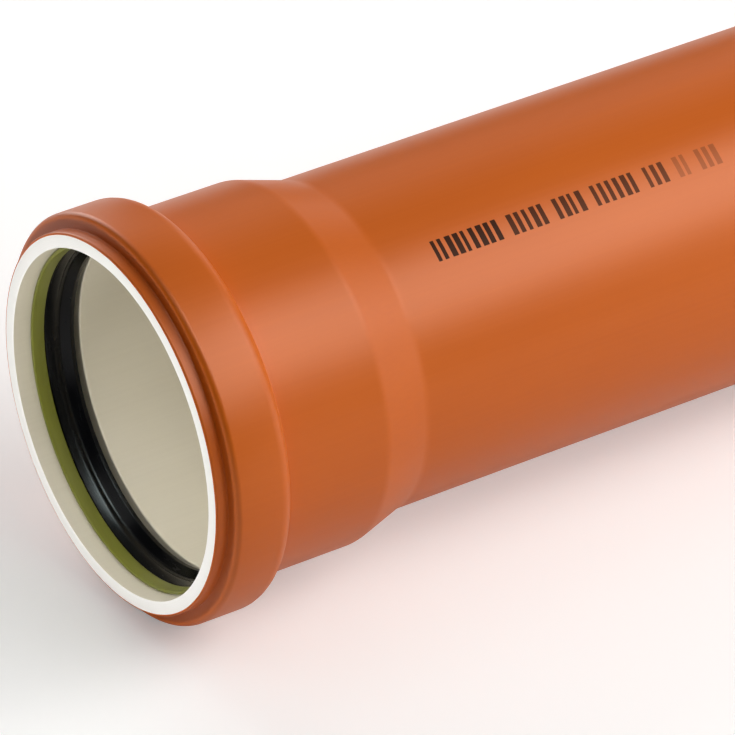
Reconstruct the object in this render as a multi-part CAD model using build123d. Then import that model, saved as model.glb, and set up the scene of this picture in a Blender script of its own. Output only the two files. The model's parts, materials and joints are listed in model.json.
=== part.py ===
from build123d import *
import os
from math import asin, atan2, degrees, hypot, radians, sin, tan

# Drain pipe of polypropylene, nominal size 160: a straight barrel with a plain chamfered spigot at one
# end and a socket formed on the other, with a lip seal and its retaining ring in the socket's chamber.
# Sections are drawn as (distance from the mouth, radius) and turned about the pipe's axis. All in mm.

# Where the turned faces close: a line on the pipe's side, clear of its level and its upright plane
seam_angle = 22.5

# The barrel
outside_diameter = 160.0
wall = 7.3
laying_length = 1000.0
spigot_chamfer_length = 12.0
spigot_chamfer_angle = 15.0

# The socket's inside, as the forming mandrel leaves it, from the mouth inwards
socket_clearance = 0.7
mouth_step = 3.0
mouth_length = 12.7
chamber_depth = 10.3
chamber_floor_length = 16.7
chamber_front_angle = 85.0
chamber_rear_angle = 69.0
insertion_depth = 92.5
taper_angle = 17.0

# Rounded edges and bends of the wall
mouth_edge_radius = 1.0
bead_front_radius = 3.0
bead_rear_radius = 5.0
bead_foot_radius = 2.0
taper_blend_radius = 16.0

# The retaining ring, and the gap that both rings keep to the faces around them
seat_gap = 0.25
retaining_clearance = 1.5
retaining_inset = 9.0
collar_overrun = 2.8
flange_step = 3.0
flange_tip = 2.4

# The sealing ring
lip_bite = 1.5
lip_land = 2.6
lip_setback = 2.3
nose_step = 0.8
ridge_setback = 4.0
ridge_height = 0.9
valley_setback = 7.0
valley_depth = 0.6
heel_depth = 7.0
groove_undercut = 2.6

spigot_radius = outside_diameter / 2
barrel_bore_radius = spigot_radius - wall
socket_radius = spigot_radius + socket_clearance
mouth_radius = socket_radius + mouth_step
chamber_radius = socket_radius + chamber_depth
bead_radius = chamber_radius + wall
total_length = laying_length + insertion_depth

front_slope = tan(radians(chamber_front_angle))
rear_slope = tan(radians(chamber_rear_angle))
taper_slope = tan(radians(taper_angle))
chamber_floor_start = mouth_length + (chamber_radius - mouth_radius) / front_slope
chamber_floor_end = chamber_floor_start + chamber_floor_length
chamber_foot = chamber_floor_end + chamber_depth / rear_slope
taper_end = insertion_depth + (socket_radius - barrel_bore_radius) / taper_slope


def miter(angle):
    """How far a bend of the wall moves along the axis between its inner and its outer face."""
    return wall * tan(radians(angle) / 2)


def chamber_front(radius):
    """Distance from the mouth of a face that lies a seat gap behind the chamber's front wall."""
    on_wall = mouth_length + (radius - mouth_radius) / front_slope
    return on_wall + seat_gap / sin(radians(chamber_front_angle))


def chamber_rear(radius):
    """Distance from the mouth of a face that lies a seat gap before the chamber's rear wall."""
    on_wall = chamber_floor_end + (chamber_radius - radius) / rear_slope
    return on_wall - seat_gap / sin(radians(chamber_rear_angle))


def turned(corners):
    """A ring or tube: its section, given as corners with their radii, turned about the pipe's axis."""
    points = [point for point, _ in corners]
    radii = [radius for _, radius in corners]
    with BuildPart() as body:
        with BuildSketch(Plane.XY.rotated((seam_angle, 0, 0))):
            with BuildLine():
                FilletPolyline(*points, radius=radii, close=True)
            make_face()
        revolve(axis=Axis.X)
    return body.part


# Pipe: the inner face from the mouth to the spigot, then the outer face back, a wall further out
bead_front_foot = mouth_length - miter(chamber_front_angle)
bead_front_edge = chamber_floor_start - miter(chamber_front_angle)
bead_rear_edge = chamber_floor_end + miter(chamber_rear_angle)
bead_rear_foot = chamber_foot + miter(chamber_rear_angle)
chamfer_start = total_length - spigot_chamfer_length
chamfer_depth = spigot_chamfer_length * tan(radians(spigot_chamfer_angle))

pipe = turned([
    ((0, mouth_radius), 0),
    ((mouth_length, mouth_radius), 0),
    ((chamber_floor_start, chamber_radius), 0),
    ((chamber_floor_end, chamber_radius), 0),
    ((chamber_foot, socket_radius), 0),
    ((insertion_depth, socket_radius), 0),
    ((taper_end, barrel_bore_radius), 0),
    ((total_length, barrel_bore_radius), 0),
    ((total_length, spigot_radius - chamfer_depth), 0),
    ((chamfer_start, spigot_radius), 0),
    ((taper_end + miter(taper_angle), spigot_radius), taper_blend_radius),
    ((insertion_depth + miter(taper_angle), socket_radius + wall), taper_blend_radius),
    ((bead_rear_foot, socket_radius + wall), bead_foot_radius),
    ((bead_rear_edge, bead_radius), bead_rear_radius),
    ((bead_front_edge, bead_radius), bead_front_radius),
    ((bead_front_foot, mouth_radius + wall), 0),
    ((0, mouth_radius + wall), mouth_edge_radius),
])

# Retaining ring: a collar inside the mouth, with a flange that hooks behind the chamber's front wall
retaining_radius = spigot_radius + retaining_clearance
collar_radius = mouth_radius - seat_gap
collar_end = mouth_length + collar_overrun
flange_radius = chamber_radius - flange_step
flange_rear = chamber_front(flange_radius) + flange_tip

retaining_ring = turned([
    ((retaining_inset, retaining_radius), 0),
    ((collar_end, retaining_radius), 0),
    ((flange_rear, flange_radius), 0),
    ((chamber_front(flange_radius), flange_radius), 0),
    ((chamber_front(collar_radius), collar_radius), 0),
    ((retaining_inset, collar_radius), 0),
])

# Sealing ring: a body that fills the chamber behind the flange, a low wiping ridge, and a lip that
# leans back and inwards with a groove behind it, so that the next pipe's spigot bends it open
seal_radius = chamber_radius - seat_gap
seal_front = collar_end + seat_gap
seal_shoulder = flange_rear + seat_gap
nose_radius = retaining_radius + nose_step
heel_radius = chamber_radius - heel_depth
lip_radius = spigot_radius - lip_bite
lip_end = chamber_rear(heel_radius) - lip_setback

sealing_ring = turned([
    ((seal_front, nose_radius), 0),
    ((seal_front + ridge_setback, nose_radius - ridge_height), 0),
    ((seal_front + valley_setback, nose_radius + valley_depth), 0),
    ((lip_end - lip_land, lip_radius), 0),
    ((lip_end, lip_radius), 0),
    ((lip_end - groove_undercut, heel_radius), 0),
    ((chamber_rear(heel_radius), heel_radius), 0),
    ((chamber_rear(seal_radius), seal_radius), 0),
    ((seal_shoulder, seal_radius), 0),
    ((seal_shoulder, flange_radius), 0),
])

# The pipe lies on the rear edge of its bead and on the start of its spigot chamfer, so its axis dips a
# little towards the spigot. The frame's origin is on the floor under the middle of the pipe.
bead_arc_centre = bead_rear_edge - bead_rear_radius * tan(radians(chamber_rear_angle) / 2)
run = chamfer_start - bead_arc_centre
rise = bead_radius - bead_rear_radius - spigot_radius
dip = atan2(rise, run) + asin(bead_rear_radius / hypot(run, rise))
dipped = Rotation(0, degrees(dip), 0)
extent = (dipped * pipe).bounding_box()
lying = Pos(-extent.center().X, 0, -extent.min.Z) * dipped

os.makedirs("parts", exist_ok=True)
pieces = {"pipe": pipe, "sealing_ring": sealing_ring, "retaining_ring": retaining_ring}
for name, piece in pieces.items():
    export_step(lying * piece, f"parts/{name}.step")
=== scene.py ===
import json
import math

import bpy
from mathutils import Matrix, Vector


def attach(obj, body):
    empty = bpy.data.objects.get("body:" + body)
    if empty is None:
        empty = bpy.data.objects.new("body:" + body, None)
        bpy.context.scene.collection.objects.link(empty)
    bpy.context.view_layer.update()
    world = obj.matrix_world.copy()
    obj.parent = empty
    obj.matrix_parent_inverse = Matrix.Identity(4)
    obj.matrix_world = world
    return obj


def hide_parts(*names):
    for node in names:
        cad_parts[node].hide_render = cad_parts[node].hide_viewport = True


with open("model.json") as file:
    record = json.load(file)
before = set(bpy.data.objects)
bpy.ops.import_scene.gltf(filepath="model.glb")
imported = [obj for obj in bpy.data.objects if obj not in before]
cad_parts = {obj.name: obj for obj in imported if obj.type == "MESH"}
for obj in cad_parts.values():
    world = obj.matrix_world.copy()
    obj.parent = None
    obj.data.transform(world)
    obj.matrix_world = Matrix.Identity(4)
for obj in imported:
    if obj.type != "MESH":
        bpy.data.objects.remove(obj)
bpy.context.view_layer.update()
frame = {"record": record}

# PIPE
# A co-extruded polypropylene tube: an orange-brown skin over a pale wall, drawn out of the die as one piece.
# One end is reheated and pressed over a mandrel into the socket with its ring chamber, and the other end is
# turned to a chamfer. The two cut ends show the pale wall under the skin.
scene = bpy.context.scene
mounts = {mount["name"]: mount for mount in frame["record"]["mounts"]}
mm = 0.001

# Sizes along the axis are measured from the mouth, and the barrel's radii come from the frame.
spigot_radius = mounts["spigot"]["dims"]["r_mm"] * mm
bore_radius = mounts["flow_bore"]["dims"]["r_mm"] * mm
wall = spigot_radius - bore_radius
skin = 1.0 * mm
total_length = 1092.5 * mm
chamfer_length = 12.0 * mm
chamfer_angle = math.radians(15)

socket_clearance = 0.7 * mm
mouth_step = 3.0 * mm
mouth_length = 12.7 * mm
chamber_depth = 10.3 * mm
chamber_floor_length = 16.7 * mm
insertion_depth = 92.5 * mm
front_angle = math.radians(85)
rear_angle = math.radians(69)
taper_angle = math.radians(17)

# Roundings of the cut edges and of the wall's bends, and how far the skin reaches over the lip
mouth_edge = 0.4 * mm
rim_edge = 1.0 * mm
skin_on_lip = 1.1 * mm
spigot_edge = 0.2 * mm
rim_foot_bend = 0.3 * mm
bead_front_bend = 3.0 * mm
bead_rear_bend = 8.0 * mm
bead_foot_bend = 2.0 * mm
taper_bend = 16 * mm
chamber_bend = 1.2 * mm
inner_taper_bend = 14 * mm

chamfer_depth = chamfer_length * math.tan(chamfer_angle)
socket_radius = spigot_radius + socket_clearance
mouth_radius = socket_radius + mouth_step
chamber_radius = socket_radius + chamber_depth
chamber_floor_start = mouth_length + (chamber_radius - mouth_radius) / math.tan(front_angle)
chamber_floor_end = chamber_floor_start + chamber_floor_length
chamber_foot = chamber_floor_end + (chamber_radius - socket_radius) / math.tan(rear_angle)
taper_end = insertion_depth + (socket_radius - bore_radius) / math.tan(taper_angle)
front_miter = wall * math.tan(front_angle / 2)
rear_miter = wall * math.tan(rear_angle / 2)
taper_miter = wall * math.tan(taper_angle / 2)

# The pipe's axis as it lies: its bead and its spigot touch the floor, so it dips a little along +X.
axis = Vector(mounts["flow_bore"]["axis"]).normalized()
mouth = Vector(mounts["flow_bore"]["pos_m"]) - axis * (taper_end + total_length) / 2
across = Vector((0, 1, 0))
lying = Matrix.Translation(mouth) @ Matrix((axis, across, axis.cross(across))).transposed().to_4x4()


def linear(hex_colour):
    """An sRGB hex colour as linear red, green, blue and alpha."""
    values = [int(hex_colour[i:i + 2], 16) / 255 for i in (1, 3, 5)]
    return [v / 12.92 if v <= 0.04045 else ((v + 0.055) / 1.055) ** 2.4 for v in values] + [1.0]


def add(tree, kind, inputs=(), output=0, **settings):
    """Adds a node with its settings and inputs, given in order or by name, and returns one of its outputs."""
    node = tree.nodes.new(kind)
    for name, value in settings.items():
        setattr(node, name, value)
    for socket, value in inputs.items() if isinstance(inputs, dict) else enumerate(inputs):
        if isinstance(value, bpy.types.NodeSocket):
            tree.links.new(value, node.inputs[socket])
        else:
            node.inputs[socket].default_value = value
    return node.outputs[output] if node.outputs else node


# Turning: a section in (distance, radius), rounded at its corners, is turned about the axis. The piece keeps
# its places in the pipe's own axes, with the distance from the mouth first, for the materials.
turning = bpy.data.node_groups.new("turned about the pipe axis", "GeometryNodeTree")
for label, kind in (
    ("Section", "NodeSocketGeometry"),
    ("Steps around", "NodeSocketInt"),
    ("Steps in a corner", "NodeSocketInt"),
    ("Finish", "NodeSocketMaterial"),
):
    turning.interface.new_socket(label, in_out="INPUT", socket_type=kind)
turning.interface.new_socket("Turned", in_out="OUTPUT", socket_type="NodeSocketGeometry")
given = add(turning, "NodeGroupInput").node.outputs
outline = add(turning, "GeometryNodeMeshToCurve", {"Mesh": given["Section"]})
corner = add(turning, "GeometryNodeInputNamedAttribute", {"Name": "corner_radius"}, data_type="FLOAT")
rounded = add(turning, "GeometryNodeFilletCurve", {
    "Curve": outline, "Count": given["Steps in a corner"], "Radius": corner, "Limit Radius": True,
}, mode="POLY")

# A flat sheet of points: one row for each point of the section and one column for each step around, with the
# first of each again at the end.
points = add(turning, "GeometryNodeAttributeDomainSize", (rounded,), "Point Count", component="CURVE")
rows = add(turning, "ShaderNodeMath", (points, 1), operation="ADD")
columns = add(turning, "ShaderNodeMath", (given["Steps around"], 1), operation="ADD")
sheet = add(turning, "GeometryNodeMeshGrid", {"Vertices X": columns, "Vertices Y": rows}, "Mesh")
index = add(turning, "GeometryNodeInputIndex")
row = add(turning, "ShaderNodeMath", (index, rows), operation="MODULO")
section_point = add(turning, "ShaderNodeMath", (row, points), operation="MODULO")
columns_before = add(turning, "ShaderNodeMath", (index, rows), operation="DIVIDE")
column = add(turning, "ShaderNodeMath", (columns_before,), operation="FLOOR")
column_turns = add(turning, "ShaderNodeMath", (column, math.tau), operation="MULTIPLY")
angle = add(turning, "ShaderNodeMath", (column_turns, given["Steps around"]), operation="DIVIDE")

# Each point of the sheet takes its distance, radius and depth in the wall from its point of the section.
position = add(turning, "GeometryNodeInputPosition")
depth = add(turning, "GeometryNodeInputNamedAttribute", {"Name": "depth"}, data_type="FLOAT")
section_place = add(turning, "GeometryNodeSampleIndex", {
    "Geometry": rounded, "Value": position, "Index": section_point,
}, data_type="FLOAT_VECTOR")
section_depth = add(turning, "GeometryNodeSampleIndex", {
    "Geometry": rounded, "Value": depth, "Index": section_point,
}, data_type="FLOAT")
distance, radius, _ = add(turning, "ShaderNodeSeparateXYZ", (section_place,)).node.outputs
sine = add(turning, "ShaderNodeMath", (angle,), operation="SINE")
cosine = add(turning, "ShaderNodeMath", (angle,), operation="COSINE")
turned_place = add(turning, "ShaderNodeCombineXYZ", (
    distance,
    add(turning, "ShaderNodeMath", (radius, sine), operation="MULTIPLY"),
    add(turning, "ShaderNodeMath", (radius, cosine), operation="MULTIPLY"),
))
bent = add(turning, "GeometryNodeSetPosition", {"Geometry": sheet, "Position": turned_place})
placed = add(turning, "GeometryNodeStoreNamedAttribute", {
    "Geometry": bent, "Name": "own_place", "Value": turned_place,
}, data_type="FLOAT_VECTOR")
layered = add(turning, "GeometryNodeStoreNamedAttribute", {
    "Geometry": placed, "Name": "depth", "Value": section_depth,
}, data_type="FLOAT")
weld_distance = 0.001 * mm
closed = add(turning, "GeometryNodeMergeByDistance", {"Geometry": layered, "Distance": weld_distance})
realized = add(turning, "GeometryNodeRealizeInstances", {"Geometry": closed})
dressed = add(turning, "GeometryNodeSetMaterial", {"Geometry": realized, "Material": given["Finish"]})
add(turning, "NodeGroupOutput", (dressed,))


def turned_piece(name, corners, material, steps_around, steps_in_corner, sharp_above):
    """A turned piece, from its section's corners: (distance, radius, corner radius, depth in the wall)."""
    section = bpy.data.meshes.new(name + " section")
    count = len(corners)
    section.from_pydata(
        [(distance, radius, 0) for distance, radius, _, _ in corners],
        [(i, (i + 1) % count) for i in range(count)],
        [],
    )
    for label, place_in_corner in (("corner_radius", 2), ("depth", 3)):
        attribute = section.attributes.new(label, "FLOAT", "POINT")
        attribute.data.foreach_set("value", [corner[place_in_corner] for corner in corners])
    maker = bpy.data.objects.new(name + " maker", section)
    scene.collection.objects.link(maker)
    modifier = maker.modifiers.new("turning", "NODES")
    modifier.node_group = turning
    values = {"Steps around": steps_around, "Steps in a corner": steps_in_corner, "Finish": material}
    for item in turning.interface.items_tree:
        if item.item_type == "SOCKET" and item.in_out == "INPUT" and item.name in values:
            modifier[item.identifier] = values[item.name]
    evaluated = maker.evaluated_get(bpy.context.evaluated_depsgraph_get())
    mesh = bpy.data.meshes.new_from_object(evaluated)
    bpy.data.objects.remove(maker)
    mesh.name = name
    mesh.transform(lying)
    mesh.shade_smooth()
    mesh.set_sharp_from_angle(angle=math.radians(sharp_above))
    piece = bpy.data.objects.new(name, mesh)
    scene.collection.objects.link(piece)
    return piece


def new_material(name):
    """A new material, with its tree and its shader."""
    material = bpy.data.materials.new(name)
    material.use_nodes = True
    tree = material.node_tree
    tree.nodes.clear()
    surface = add(tree, "ShaderNodeBsdfPrincipled")
    add(tree, "ShaderNodeOutputMaterial", (surface,))
    return material, tree, surface.node


def grains(tree, place, length, width, detail=3.0):
    """A pattern from 0 to 1, in grains of a real length along the pipe and a real width across it."""
    scale = (1 / length, 1 / width, 1 / width)
    scaled = add(tree, "ShaderNodeVectorMath", (place, scale), operation="MULTIPLY")
    return add(tree, "ShaderNodeTexNoise", {"Vector": scaled, "Scale": 1.0, "Detail": detail}, "Fac")


def dress(tree, shader, colour, roughness, relief):
    """Gives a shader its colour, its roughness and its relief, which is a height in metres."""
    bump = add(tree, "ShaderNodeBump", {"Height": relief, "Strength": 1.0, "Distance": 1.0})
    for socket, value in (("Base Color", colour), ("Roughness", roughness), ("Normal", bump)):
        tree.links.new(value, shader.inputs[socket])


# Co-extruded polypropylene: satin and a little waxy, so light spreads in a broad soft sheen. Lines from the
# die run along the skin, drawn coarser than real so that they show. The cut ends have the marks of turning,
# and they are painted much whiter than the wall: partly the sawn face's own white, partly a painted highlight.
pipe_plastic, tree, shader = new_material("co-extruded polypropylene")
place = add(tree, "ShaderNodeAttribute", (), "Vector", attribute_name="own_place")
along, aside, upward = add(tree, "ShaderNodeSeparateXYZ", (place,)).node.outputs
depth_in_wall = add(tree, "ShaderNodeAttribute", (), "Fac", attribute_name="depth")
in_skin = add(tree, "ShaderNodeMath", (depth_in_wall, skin * 0.995), operation="LESS_THAN")
die_lines = grains(tree, place, 350 * mm, 1.5 * mm)
clouds = grains(tree, place, 140 * mm, 40 * mm)
peel = grains(tree, place, 0.9 * mm, 0.7 * mm, 1.0)
clouds_share = add(tree, "ShaderNodeMath", (clouds, 0.65), operation="MULTIPLY")
tone = add(tree, "ShaderNodeMath", (die_lines, 0.35, clouds_share), operation="MULTIPLY_ADD")

# The cut ends: the face of the mouth, and the face and the chamfer of the spigot, with marks one feed apart.
feed = 0.3 * mm
lip_face = 0.3 * mm
bore_margin = 0.1 * mm
upward_squared = add(tree, "ShaderNodeMath", (upward, upward), operation="MULTIPLY")
own_radius_squared = add(tree, "ShaderNodeMath", (aside, aside, upward_squared), operation="MULTIPLY_ADD")
own_radius = add(tree, "ShaderNodeMath", (own_radius_squared,), operation="SQRT")
own_radius_in_feeds = add(tree, "ShaderNodeMath", (own_radius, feed), operation="DIVIDE")
turning_marks = add(tree, "ShaderNodeTexNoise", {
    "W": own_radius_in_feeds, "Scale": 1.0, "Detail": 2.0,
}, "Fac", noise_dimensions="1D")
at_mouth = add(tree, "ShaderNodeMath", (along, lip_face), operation="LESS_THAN")
past_barrel = add(tree, "ShaderNodeMath", (along, total_length - chamfer_length), operation="GREATER_THAN")
off_bore = add(tree, "ShaderNodeMath", (own_radius, bore_radius + bore_margin), operation="GREATER_THAN")
at_spigot = add(tree, "ShaderNodeMath", (past_barrel, off_bore), operation="MULTIPLY")
cut = add(tree, "ShaderNodeMath", (at_mouth, at_spigot), operation="MAXIMUM")

# The print: plain upright blocks on the side of the barrel, in groups of (blocks, ink), the last ones fainter.
# The ink of a group begins a little before its first block.
print_start = 145.5 * mm
print_middle = math.radians(33) * spigot_radius
print_height = 10.6 * mm
block_pitch = 4.2 * mm
ink_lead = 0.12
block_groups = ((9, 0.96), (5, 0.9), (4, 0.88), (6, 0.86), (3, 0.8), (2, 0.35), (3, 0.4))
block_count = sum(blocks + 1 for blocks, _ in block_groups)
past_start = add(tree, "ShaderNodeMath", (along, print_start), operation="SUBTRACT")
block = add(tree, "ShaderNodeMath", (past_start, block_pitch), operation="DIVIDE")
share_of_row = add(tree, "ShaderNodeMath", (block, block_count), operation="DIVIDE")
group_ink = add(tree, "ShaderNodeValToRGB", {"Fac": share_of_row})
ramp = group_ink.node.color_ramp
ramp.interpolation = "CONSTANT"
for end in ramp.elements:
    end.color = (0, 0, 0, 1)
first_block = -ink_lead
for blocks, ink in block_groups:
    ramp.elements.new(max(first_block, 0) / block_count).color = (ink, ink, ink, 1)
    ramp.elements.new((first_block + blocks) / block_count).color = (0, 0, 0, 1)
    first_block += blocks + 1
block_number = add(tree, "ShaderNodeMath", (block,), operation="FLOOR")
chance = add(tree, "ShaderNodeTexWhiteNoise", {"W": block_number}, noise_dimensions="1D")
block_width = add(tree, "ShaderNodeMath", (chance, 0.3, 0.45), operation="MULTIPLY_ADD")
past_block_edge = add(tree, "ShaderNodeMath", (block,), operation="FRACT")
in_block = add(tree, "ShaderNodeMath", (past_block_edge, block_width), operation="LESS_THAN")
frontward = add(tree, "ShaderNodeMath", (aside, -1), operation="MULTIPLY")
around = add(tree, "ShaderNodeMath", (frontward, upward), operation="ARCTAN2")
girth = add(tree, "ShaderNodeMath", (around, spigot_radius), operation="MULTIPLY")
in_row = add(tree, "ShaderNodeMath", (girth, print_middle, print_height / 2), operation="COMPARE")
on_block = add(tree, "ShaderNodeMath", (in_block, in_row), operation="MULTIPLY")
skin_ink = add(tree, "ShaderNodeMath", (in_skin, group_ink), operation="MULTIPLY")
printed = add(tree, "ShaderNodeMath", (on_block, skin_ink), operation="MULTIPLY")

skin_colour = add(tree, "ShaderNodeMix", {
    "Factor": tone, "A": linear("#C2580B"), "B": linear("#D26510"),
}, "Result", data_type="RGBA")
pale_colour = add(tree, "ShaderNodeMix", {
    "Factor": tone, "A": linear("#CAC2AD"), "B": linear("#DAD3C0"),
}, "Result", data_type="RGBA")
# The cut ends are painted near white: in part the sawn face's own whiteness, in part a painted highlight on the
# cut face.
cut_white_and_painted_highlight = add(tree, "ShaderNodeMix", {
    "Factor": turning_marks, "A": linear("#F7F4EE"), "B": linear("#FFFEFA"),
}, "Result", data_type="RGBA")
under_skin = add(tree, "ShaderNodeMix", {
    "Factor": cut, "A": pale_colour, "B": cut_white_and_painted_highlight,
}, "Result", data_type="RGBA")
wall_colour = add(tree, "ShaderNodeMix", {
    "Factor": in_skin, "A": under_skin, "B": skin_colour,
}, "Result", data_type="RGBA")
inked_colour = add(tree, "ShaderNodeMix", {
    "Factor": printed, "A": wall_colour, "B": linear("#150B05"),
}, "Result", data_type="RGBA")
cut_roughness = add(tree, "ShaderNodeMath", (cut, 0.25, 0.34), operation="MULTIPLY_ADD")
peel_height = add(tree, "ShaderNodeMath", (peel, 0.003 * mm), operation="MULTIPLY")
skin_height = add(tree, "ShaderNodeMath", (die_lines, 0.012 * mm, peel_height), operation="MULTIPLY_ADD")
cut_marks = add(tree, "ShaderNodeMath", (cut, turning_marks), operation="MULTIPLY")
dress(
    tree, shader,
    colour=inked_colour,
    roughness=add(tree, "ShaderNodeMath", (die_lines, 0.06, cut_roughness), operation="MULTIPLY_ADD"),
    relief=add(tree, "ShaderNodeMath", (cut_marks, 0.03 * mm, skin_height), operation="MULTIPLY_ADD"),
)

# The skin's sheen has a warm tint, and the ink hardly has a sheen. The IOR is raised from polypropylene's 1.49
# until the sheen is as strong as on the real pipe.
sheen_tint = add(tree, "ShaderNodeMix", {
    "Factor": in_skin, "A": linear("#FFFFFF"), "B": linear("#FFCDB6"),
}, "Result", data_type="RGBA")
sheen_level = add(tree, "ShaderNodeMath", (printed, -0.4, 0.5), operation="MULTIPLY_ADD")
tree.links.new(sheen_tint, shader.inputs["Specular Tint"])
tree.links.new(sheen_level, shader.inputs["Specular IOR Level"])
shader.inputs["IOR"].default_value = 1.64

pipe = turned_piece(
    "pipe_wall",
    [
        (0, mouth_radius, mouth_edge, wall),
        (mouth_length, mouth_radius, chamber_bend, wall),
        (chamber_floor_start, chamber_radius, chamber_bend, wall),
        (chamber_floor_end, chamber_radius, chamber_bend, wall),
        (chamber_foot, socket_radius, chamber_bend, wall),
        (insertion_depth, socket_radius, inner_taper_bend, wall),
        (taper_end, bore_radius, inner_taper_bend, wall),
        (total_length, bore_radius, 0, wall),
        (total_length, spigot_radius - chamfer_depth, spigot_edge, chamfer_depth),
        (total_length - chamfer_length, spigot_radius, 0, 0),
        (taper_end + taper_miter, spigot_radius, taper_bend, 0),
        (insertion_depth + taper_miter, socket_radius + wall, taper_bend, 0),
        (chamber_foot + rear_miter, socket_radius + wall, bead_foot_bend, 0),
        (chamber_floor_end + rear_miter, chamber_radius + wall, bead_rear_bend, 0),
        (chamber_floor_start - front_miter, chamber_radius + wall, bead_front_bend, 0),
        (mouth_length - front_miter, mouth_radius + wall, rim_foot_bend, 0),
        (0, mouth_radius + wall, rim_edge, 0),
        (0, mouth_radius + wall - skin_on_lip, 0, skin),
    ],
    pipe_plastic, steps_around=288, steps_in_corner=6, sharp_above=24,
)
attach(pipe, "root")
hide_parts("pipe")

# SEALING RING
# A moulded rubber ring that fills the chamber behind the retaining ring. A low ridge wipes the spigot and the
# lip behind it leans back and inwards, where the spigot bends it open and is gripped by it.
seat_gap = 0.25 * mm
retaining_clearance = 1.5 * mm
collar_overrun = 2.8 * mm
flange_step = 3.0 * mm
flange_tip = 2.4 * mm
nose_step = 0.8 * mm
ridge_setback = 5.0 * mm
ridge_height = 1.2 * mm
valley_setback = 7.5 * mm
valley_height = 0.5 * mm
heel_depth = 7.0 * mm
lip_setback = 2.3 * mm
lip_land = 2.6 * mm
groove_undercut = 2.6 * mm

nose_bend = 1.0 * mm
ridge_bend = 4.0 * mm
valley_bend = 3.0 * mm
lip_bend = 0.6 * mm
groove_bend = 0.8 * mm
seal_edge = 0.5 * mm

front_seat = seat_gap / math.sin(front_angle)
rear_seat = seat_gap / math.sin(rear_angle)
retaining_radius = spigot_radius + retaining_clearance
collar_end = mouth_length + collar_overrun
flange_radius = chamber_radius - flange_step
flange_front = mouth_length + (flange_radius - mouth_radius) / math.tan(front_angle) + front_seat
flange_rear = flange_front + flange_tip
seal_front = collar_end + seat_gap
seal_shoulder = flange_rear + seat_gap
seal_radius = chamber_radius - seat_gap
nose_radius = retaining_radius + nose_step
heel_radius = chamber_radius - heel_depth
heel_rear = chamber_floor_end + (chamber_radius - heel_radius) / math.tan(rear_angle) - rear_seat
floor_rear = chamber_floor_end + seat_gap / math.tan(rear_angle) - rear_seat
lip_radius = mounts["socket_seal"]["dims"]["r_mm"] * mm
lip_end = heel_rear - lip_setback

# Moulded seal rubber: deep black with a thin film of lubricant, which leaves soft streaks of sheen around it.
# The IOR is lowered from rubber's 1.5, because the real seal reflects little of the pale bore.
seal_rubber, tree, shader = new_material("moulded seal rubber")
place = add(tree, "ShaderNodeAttribute", (), "Vector", attribute_name="own_place")
film = grains(tree, place, 2.5 * mm, 14 * mm)
grain = grains(tree, place, 0.5 * mm, 0.5 * mm, 1.0)
dress(
    tree, shader,
    colour=add(tree, "ShaderNodeMix", {
        "Factor": film, "A": linear("#020203"), "B": linear("#050506"),
    }, "Result", data_type="RGBA"),
    roughness=add(tree, "ShaderNodeMath", (film, 0.2, 0.15), operation="MULTIPLY_ADD"),
    relief=add(tree, "ShaderNodeMath", (grain, 0.006 * mm), operation="MULTIPLY"),
)
shader.inputs["IOR"].default_value = 1.3

seal = turned_piece(
    "rubber_seal",
    [
        (seal_front, nose_radius, nose_bend, 0),
        (seal_front + ridge_setback, nose_radius - ridge_height, ridge_bend, 0),
        (seal_front + valley_setback, nose_radius - valley_height, valley_bend, 0),
        (lip_end - lip_land, lip_radius, seal_edge, 0),
        (lip_end, lip_radius, lip_bend, 0),
        (lip_end - groove_undercut, heel_radius, groove_bend, 0),
        (heel_rear, heel_radius, seal_edge, 0),
        (floor_rear, seal_radius, seal_edge, 0),
        (seal_shoulder, seal_radius, seal_edge, 0),
        (seal_shoulder, flange_radius, seal_edge, 0),
    ],
    seal_rubber, steps_around=256, steps_in_corner=6, sharp_above=40,
)
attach(seal, "root")
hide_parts("sealing_ring")

# RETAINING RING
# A moulded ring of olive-green plastic: its collar shows inside the mouth, and its flange hooks behind the
# chamber's front wall and keeps the rubber from being pushed out or turned over.
retaining_front = 9.0 * mm
collar_edge = 0.5 * mm
flange_edge = 0.4 * mm
collar_radius = mouth_radius - seat_gap
collar_foot = mouth_length + (collar_radius - mouth_radius) / math.tan(front_angle) + front_seat

# Moulded olive polypropylene: a yellowish green with the faint flow marks of the mould and a soft gloss.
ring_plastic, tree, shader = new_material("moulded olive polypropylene")
place = add(tree, "ShaderNodeAttribute", (), "Vector", attribute_name="own_place")
flow = grains(tree, place, 3.0 * mm, 18 * mm)
grain = grains(tree, place, 0.4 * mm, 0.4 * mm, 1.0)
dress(
    tree, shader,
    colour=add(tree, "ShaderNodeMix", {
        "Factor": flow, "A": linear("#60621E"), "B": linear("#757829"),
    }, "Result", data_type="RGBA"),
    roughness=add(tree, "ShaderNodeMath", (flow, 0.12, 0.26), operation="MULTIPLY_ADD"),
    relief=add(tree, "ShaderNodeMath", (grain, 0.004 * mm), operation="MULTIPLY"),
)
shader.inputs["IOR"].default_value = 1.49

ring = turned_piece(
    "retaining_collar",
    [
        (retaining_front, retaining_radius, collar_edge, 0),
        (collar_end, retaining_radius, flange_edge, 0),
        (flange_rear, flange_radius, flange_edge, 0),
        (flange_front, flange_radius, flange_edge, 0),
        (collar_foot, collar_radius, flange_edge, 0),
        (retaining_front, collar_radius, collar_edge, 0),
    ],
    ring_plastic, steps_around=256, steps_in_corner=5, sharp_above=40,
)
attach(ring, "root")
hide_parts("retaining_ring")

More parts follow.
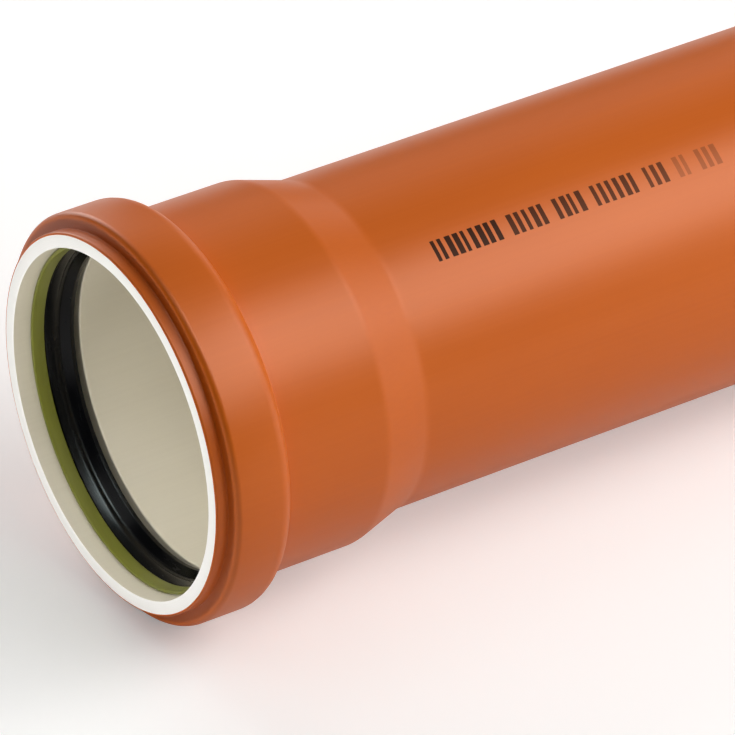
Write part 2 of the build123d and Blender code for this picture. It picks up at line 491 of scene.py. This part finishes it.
# FLOOR
# A plain pale studio floor. It glows a little for the camera alone, and more towards the lamps and beyond them,
# so that it stays pale in every view. The glow lights nothing.
floor_half = 40
floor_mesh = bpy.data.meshes.new("floor")
floor_mesh.from_pydata(
    [(floor_half * x, floor_half * y, 0) for x, y in ((-1, -1), (1, -1), (1, 1), (-1, 1))],
    [],
    [(0, 1, 2, 3)],
)
floor_finish, tree, shader = new_material("pale studio floor")
camera_ray = add(tree, "ShaderNodeLightPath", (), "Is Camera Ray")
floor_place = add(tree, "ShaderNodeTexCoord", (), "Object")
away = add(tree, "ShaderNodeVectorMath", (floor_place,), "Value", operation="LENGTH")
glow = add(tree, "ShaderNodeMapRange", {
    "Value": away, "From Min": 1.0, "From Max": 2.4, "To Min": 0.3, "To Max": 0.9,
}, "Result", interpolation_type="SMOOTHSTEP")
seen_glow = add(tree, "ShaderNodeMath", (camera_ray, glow), operation="MULTIPLY")
tree.links.new(seen_glow, shader.inputs["Emission Strength"])
shader.inputs["Base Color"].default_value = linear("#F2F1EF")
shader.inputs["Roughness"].default_value = 0.9
floor_mesh.materials.append(floor_finish)
floor = bpy.data.objects.new("floor", floor_mesh)
scene.collection.objects.link(floor)

# CAMERA
# A long lens from the socket's side, above the pipe, with the mouth left of the picture's middle.
azimuth = math.radians(-33.405)
elevation = math.radians(34.42)
mouth_left = 116.754 * mm
mouth_below = 26.208 * mm
mouth_ahead = 3242.436 * mm
right = Vector((math.cos(azimuth), math.sin(azimuth), 0))
back = Vector((
    math.sin(azimuth) * math.cos(elevation), -math.cos(azimuth) * math.cos(elevation), math.sin(elevation),
))
up = back.cross(right)
camera_data = bpy.data.cameras.new("camera")
camera_data.sensor_width = 36
camera_data.lens = 351.78
camera_data.clip_end = 100
camera = bpy.data.objects.new("camera", camera_data)
camera.matrix_world = (
    Matrix.Translation(mouth + right * mouth_left + up * mouth_below + back * mouth_ahead)
    @ Matrix((right, up, back)).transposed().to_4x4()
)
scene.collection.objects.link(camera)
scene.camera = camera

# LIGHT
# A large soft box above the spigot's side gives the broad sheen along the pipe, and weaker ones all round it
# light the skin, the far side and the pale floor. The surround is nearly white to the camera and nearly dark
# to the pipe.
scene.view_settings.view_transform = "Standard"
world = bpy.data.worlds.new("studio")
world.use_nodes = True
tree = world.node_tree
surround = tree.nodes["Background"]
surround.inputs["Color"].default_value = linear("#FFFFFF")
camera_ray = add(tree, "ShaderNodeLightPath", (), "Is Camera Ray")
brightness = add(tree, "ShaderNodeMath", (camera_ray, 0.9, 0.02), operation="MULTIPLY_ADD")
tree.links.new(brightness, surround.inputs["Strength"])
scene.world = world


def soft_box(name, place, towards, width, tall, watts):
    """An area lamp at a place, which shines against the direction in which it is seen."""
    lamp = bpy.data.lights.new(name, "AREA")
    lamp.shape = "RECTANGLE"
    lamp.size = width
    lamp.size_y = tall
    lamp.energy = watts
    stand = bpy.data.objects.new(name, lamp)
    stand.matrix_world = Matrix.Translation(place) @ towards.to_track_quat("Z", "Y").to_matrix().to_4x4()
    stand.visible_camera = False
    scene.collection.objects.link(stand)
    return stand


def bearing(heading, height):
    """The direction to a lamp, from its heading, counted from +X, and its height, both in degrees."""
    turn = math.radians(heading)
    rise = math.radians(height)
    return Vector((math.cos(rise) * math.cos(turn), math.cos(rise) * math.sin(turn), math.sin(rise)))


lamp_distance = 2.5
lit_place = mouth + axis * 0.2
for name, heading, height, width, tall, watts, shows_in_sheen in (
    ("key", -51.2, 43.6, 2.4, 1.55, 47.0, True),
    ("front_low", 270, 8, 1.5, 1.5, 1.2, False),
    ("front_right_low", 300, 8, 1.5, 1.5, 1.7, True),
    ("right_low", 330, 8, 1.5, 1.5, 9.0, True),
    ("back_right_low", 30, 8, 1.5, 1.5, 3.9, True),
    ("back_low", 90, 8, 1.5, 1.5, 17.0, True),
    ("right", 345, 30, 1.5, 1.5, 8.0, True),
    ("back_right", 45, 30, 1.5, 1.5, 3.2, True),
    ("back", 90, 30, 1.5, 1.5, 14.0, True),
    ("back_top", 60, 60, 1.5, 1.5, 5.0, False),
    ("left_top", 180, 60, 1.5, 1.5, 6.5, True),
):
    towards = bearing(heading, height)
    lamp = soft_box(name, lit_place + towards * lamp_distance, towards, width, tall, watts)
    lamp.visible_glossy = shows_in_sheen

# Two small panels light the cut end and the bore. They light the pieces alone, so the floor shows no patch.
pieces = bpy.data.collections.new("pieces lit by the small panels")
for piece in (pipe, seal, ring):
    pieces.objects.link(piece)
into_bore = Matrix.Rotation(math.radians(50), 3, across) @ -axis
for panel in (
    soft_box("mouth_fill", mouth - axis * 110 * mm, -axis, 30 * mm, 30 * mm, 0.181),
    soft_box("bore_fill", mouth + axis * 45 * mm, into_bore, 40 * mm, 40 * mm, 0.031),
):
    panel.visible_glossy = False
    panel.light_linking.receiver_collection = pieces

# A cool panel inside the socket gives the soft glint on the seal's ridge and lights nothing else.
seal_alone = bpy.data.collections.new("seal lit by its panel")
seal_alone.objects.link(seal)
seal_panel_place = lying @ Vector((38 * mm, 20 * mm, 38 * mm))
seal_panel_towards = lying.to_3x3() @ Vector((0.2, -0.18, 0.96))
seal_panel = soft_box("seal_panel", seal_panel_place, seal_panel_towards, 40 * mm, 40 * mm, 0.055)
seal_panel.data.color = (0.85, 1.0, 1.0)
seal_panel.light_linking.receiver_collection = seal_alone

# An overhead strip shows only as a sheen along the top.
overhead = bearing(272, 68)
strip = soft_box("overhead_strip", mouth + overhead * lamp_distance, overhead, 0.6, 1.4, 20.0)
strip.visible_diffuse = False
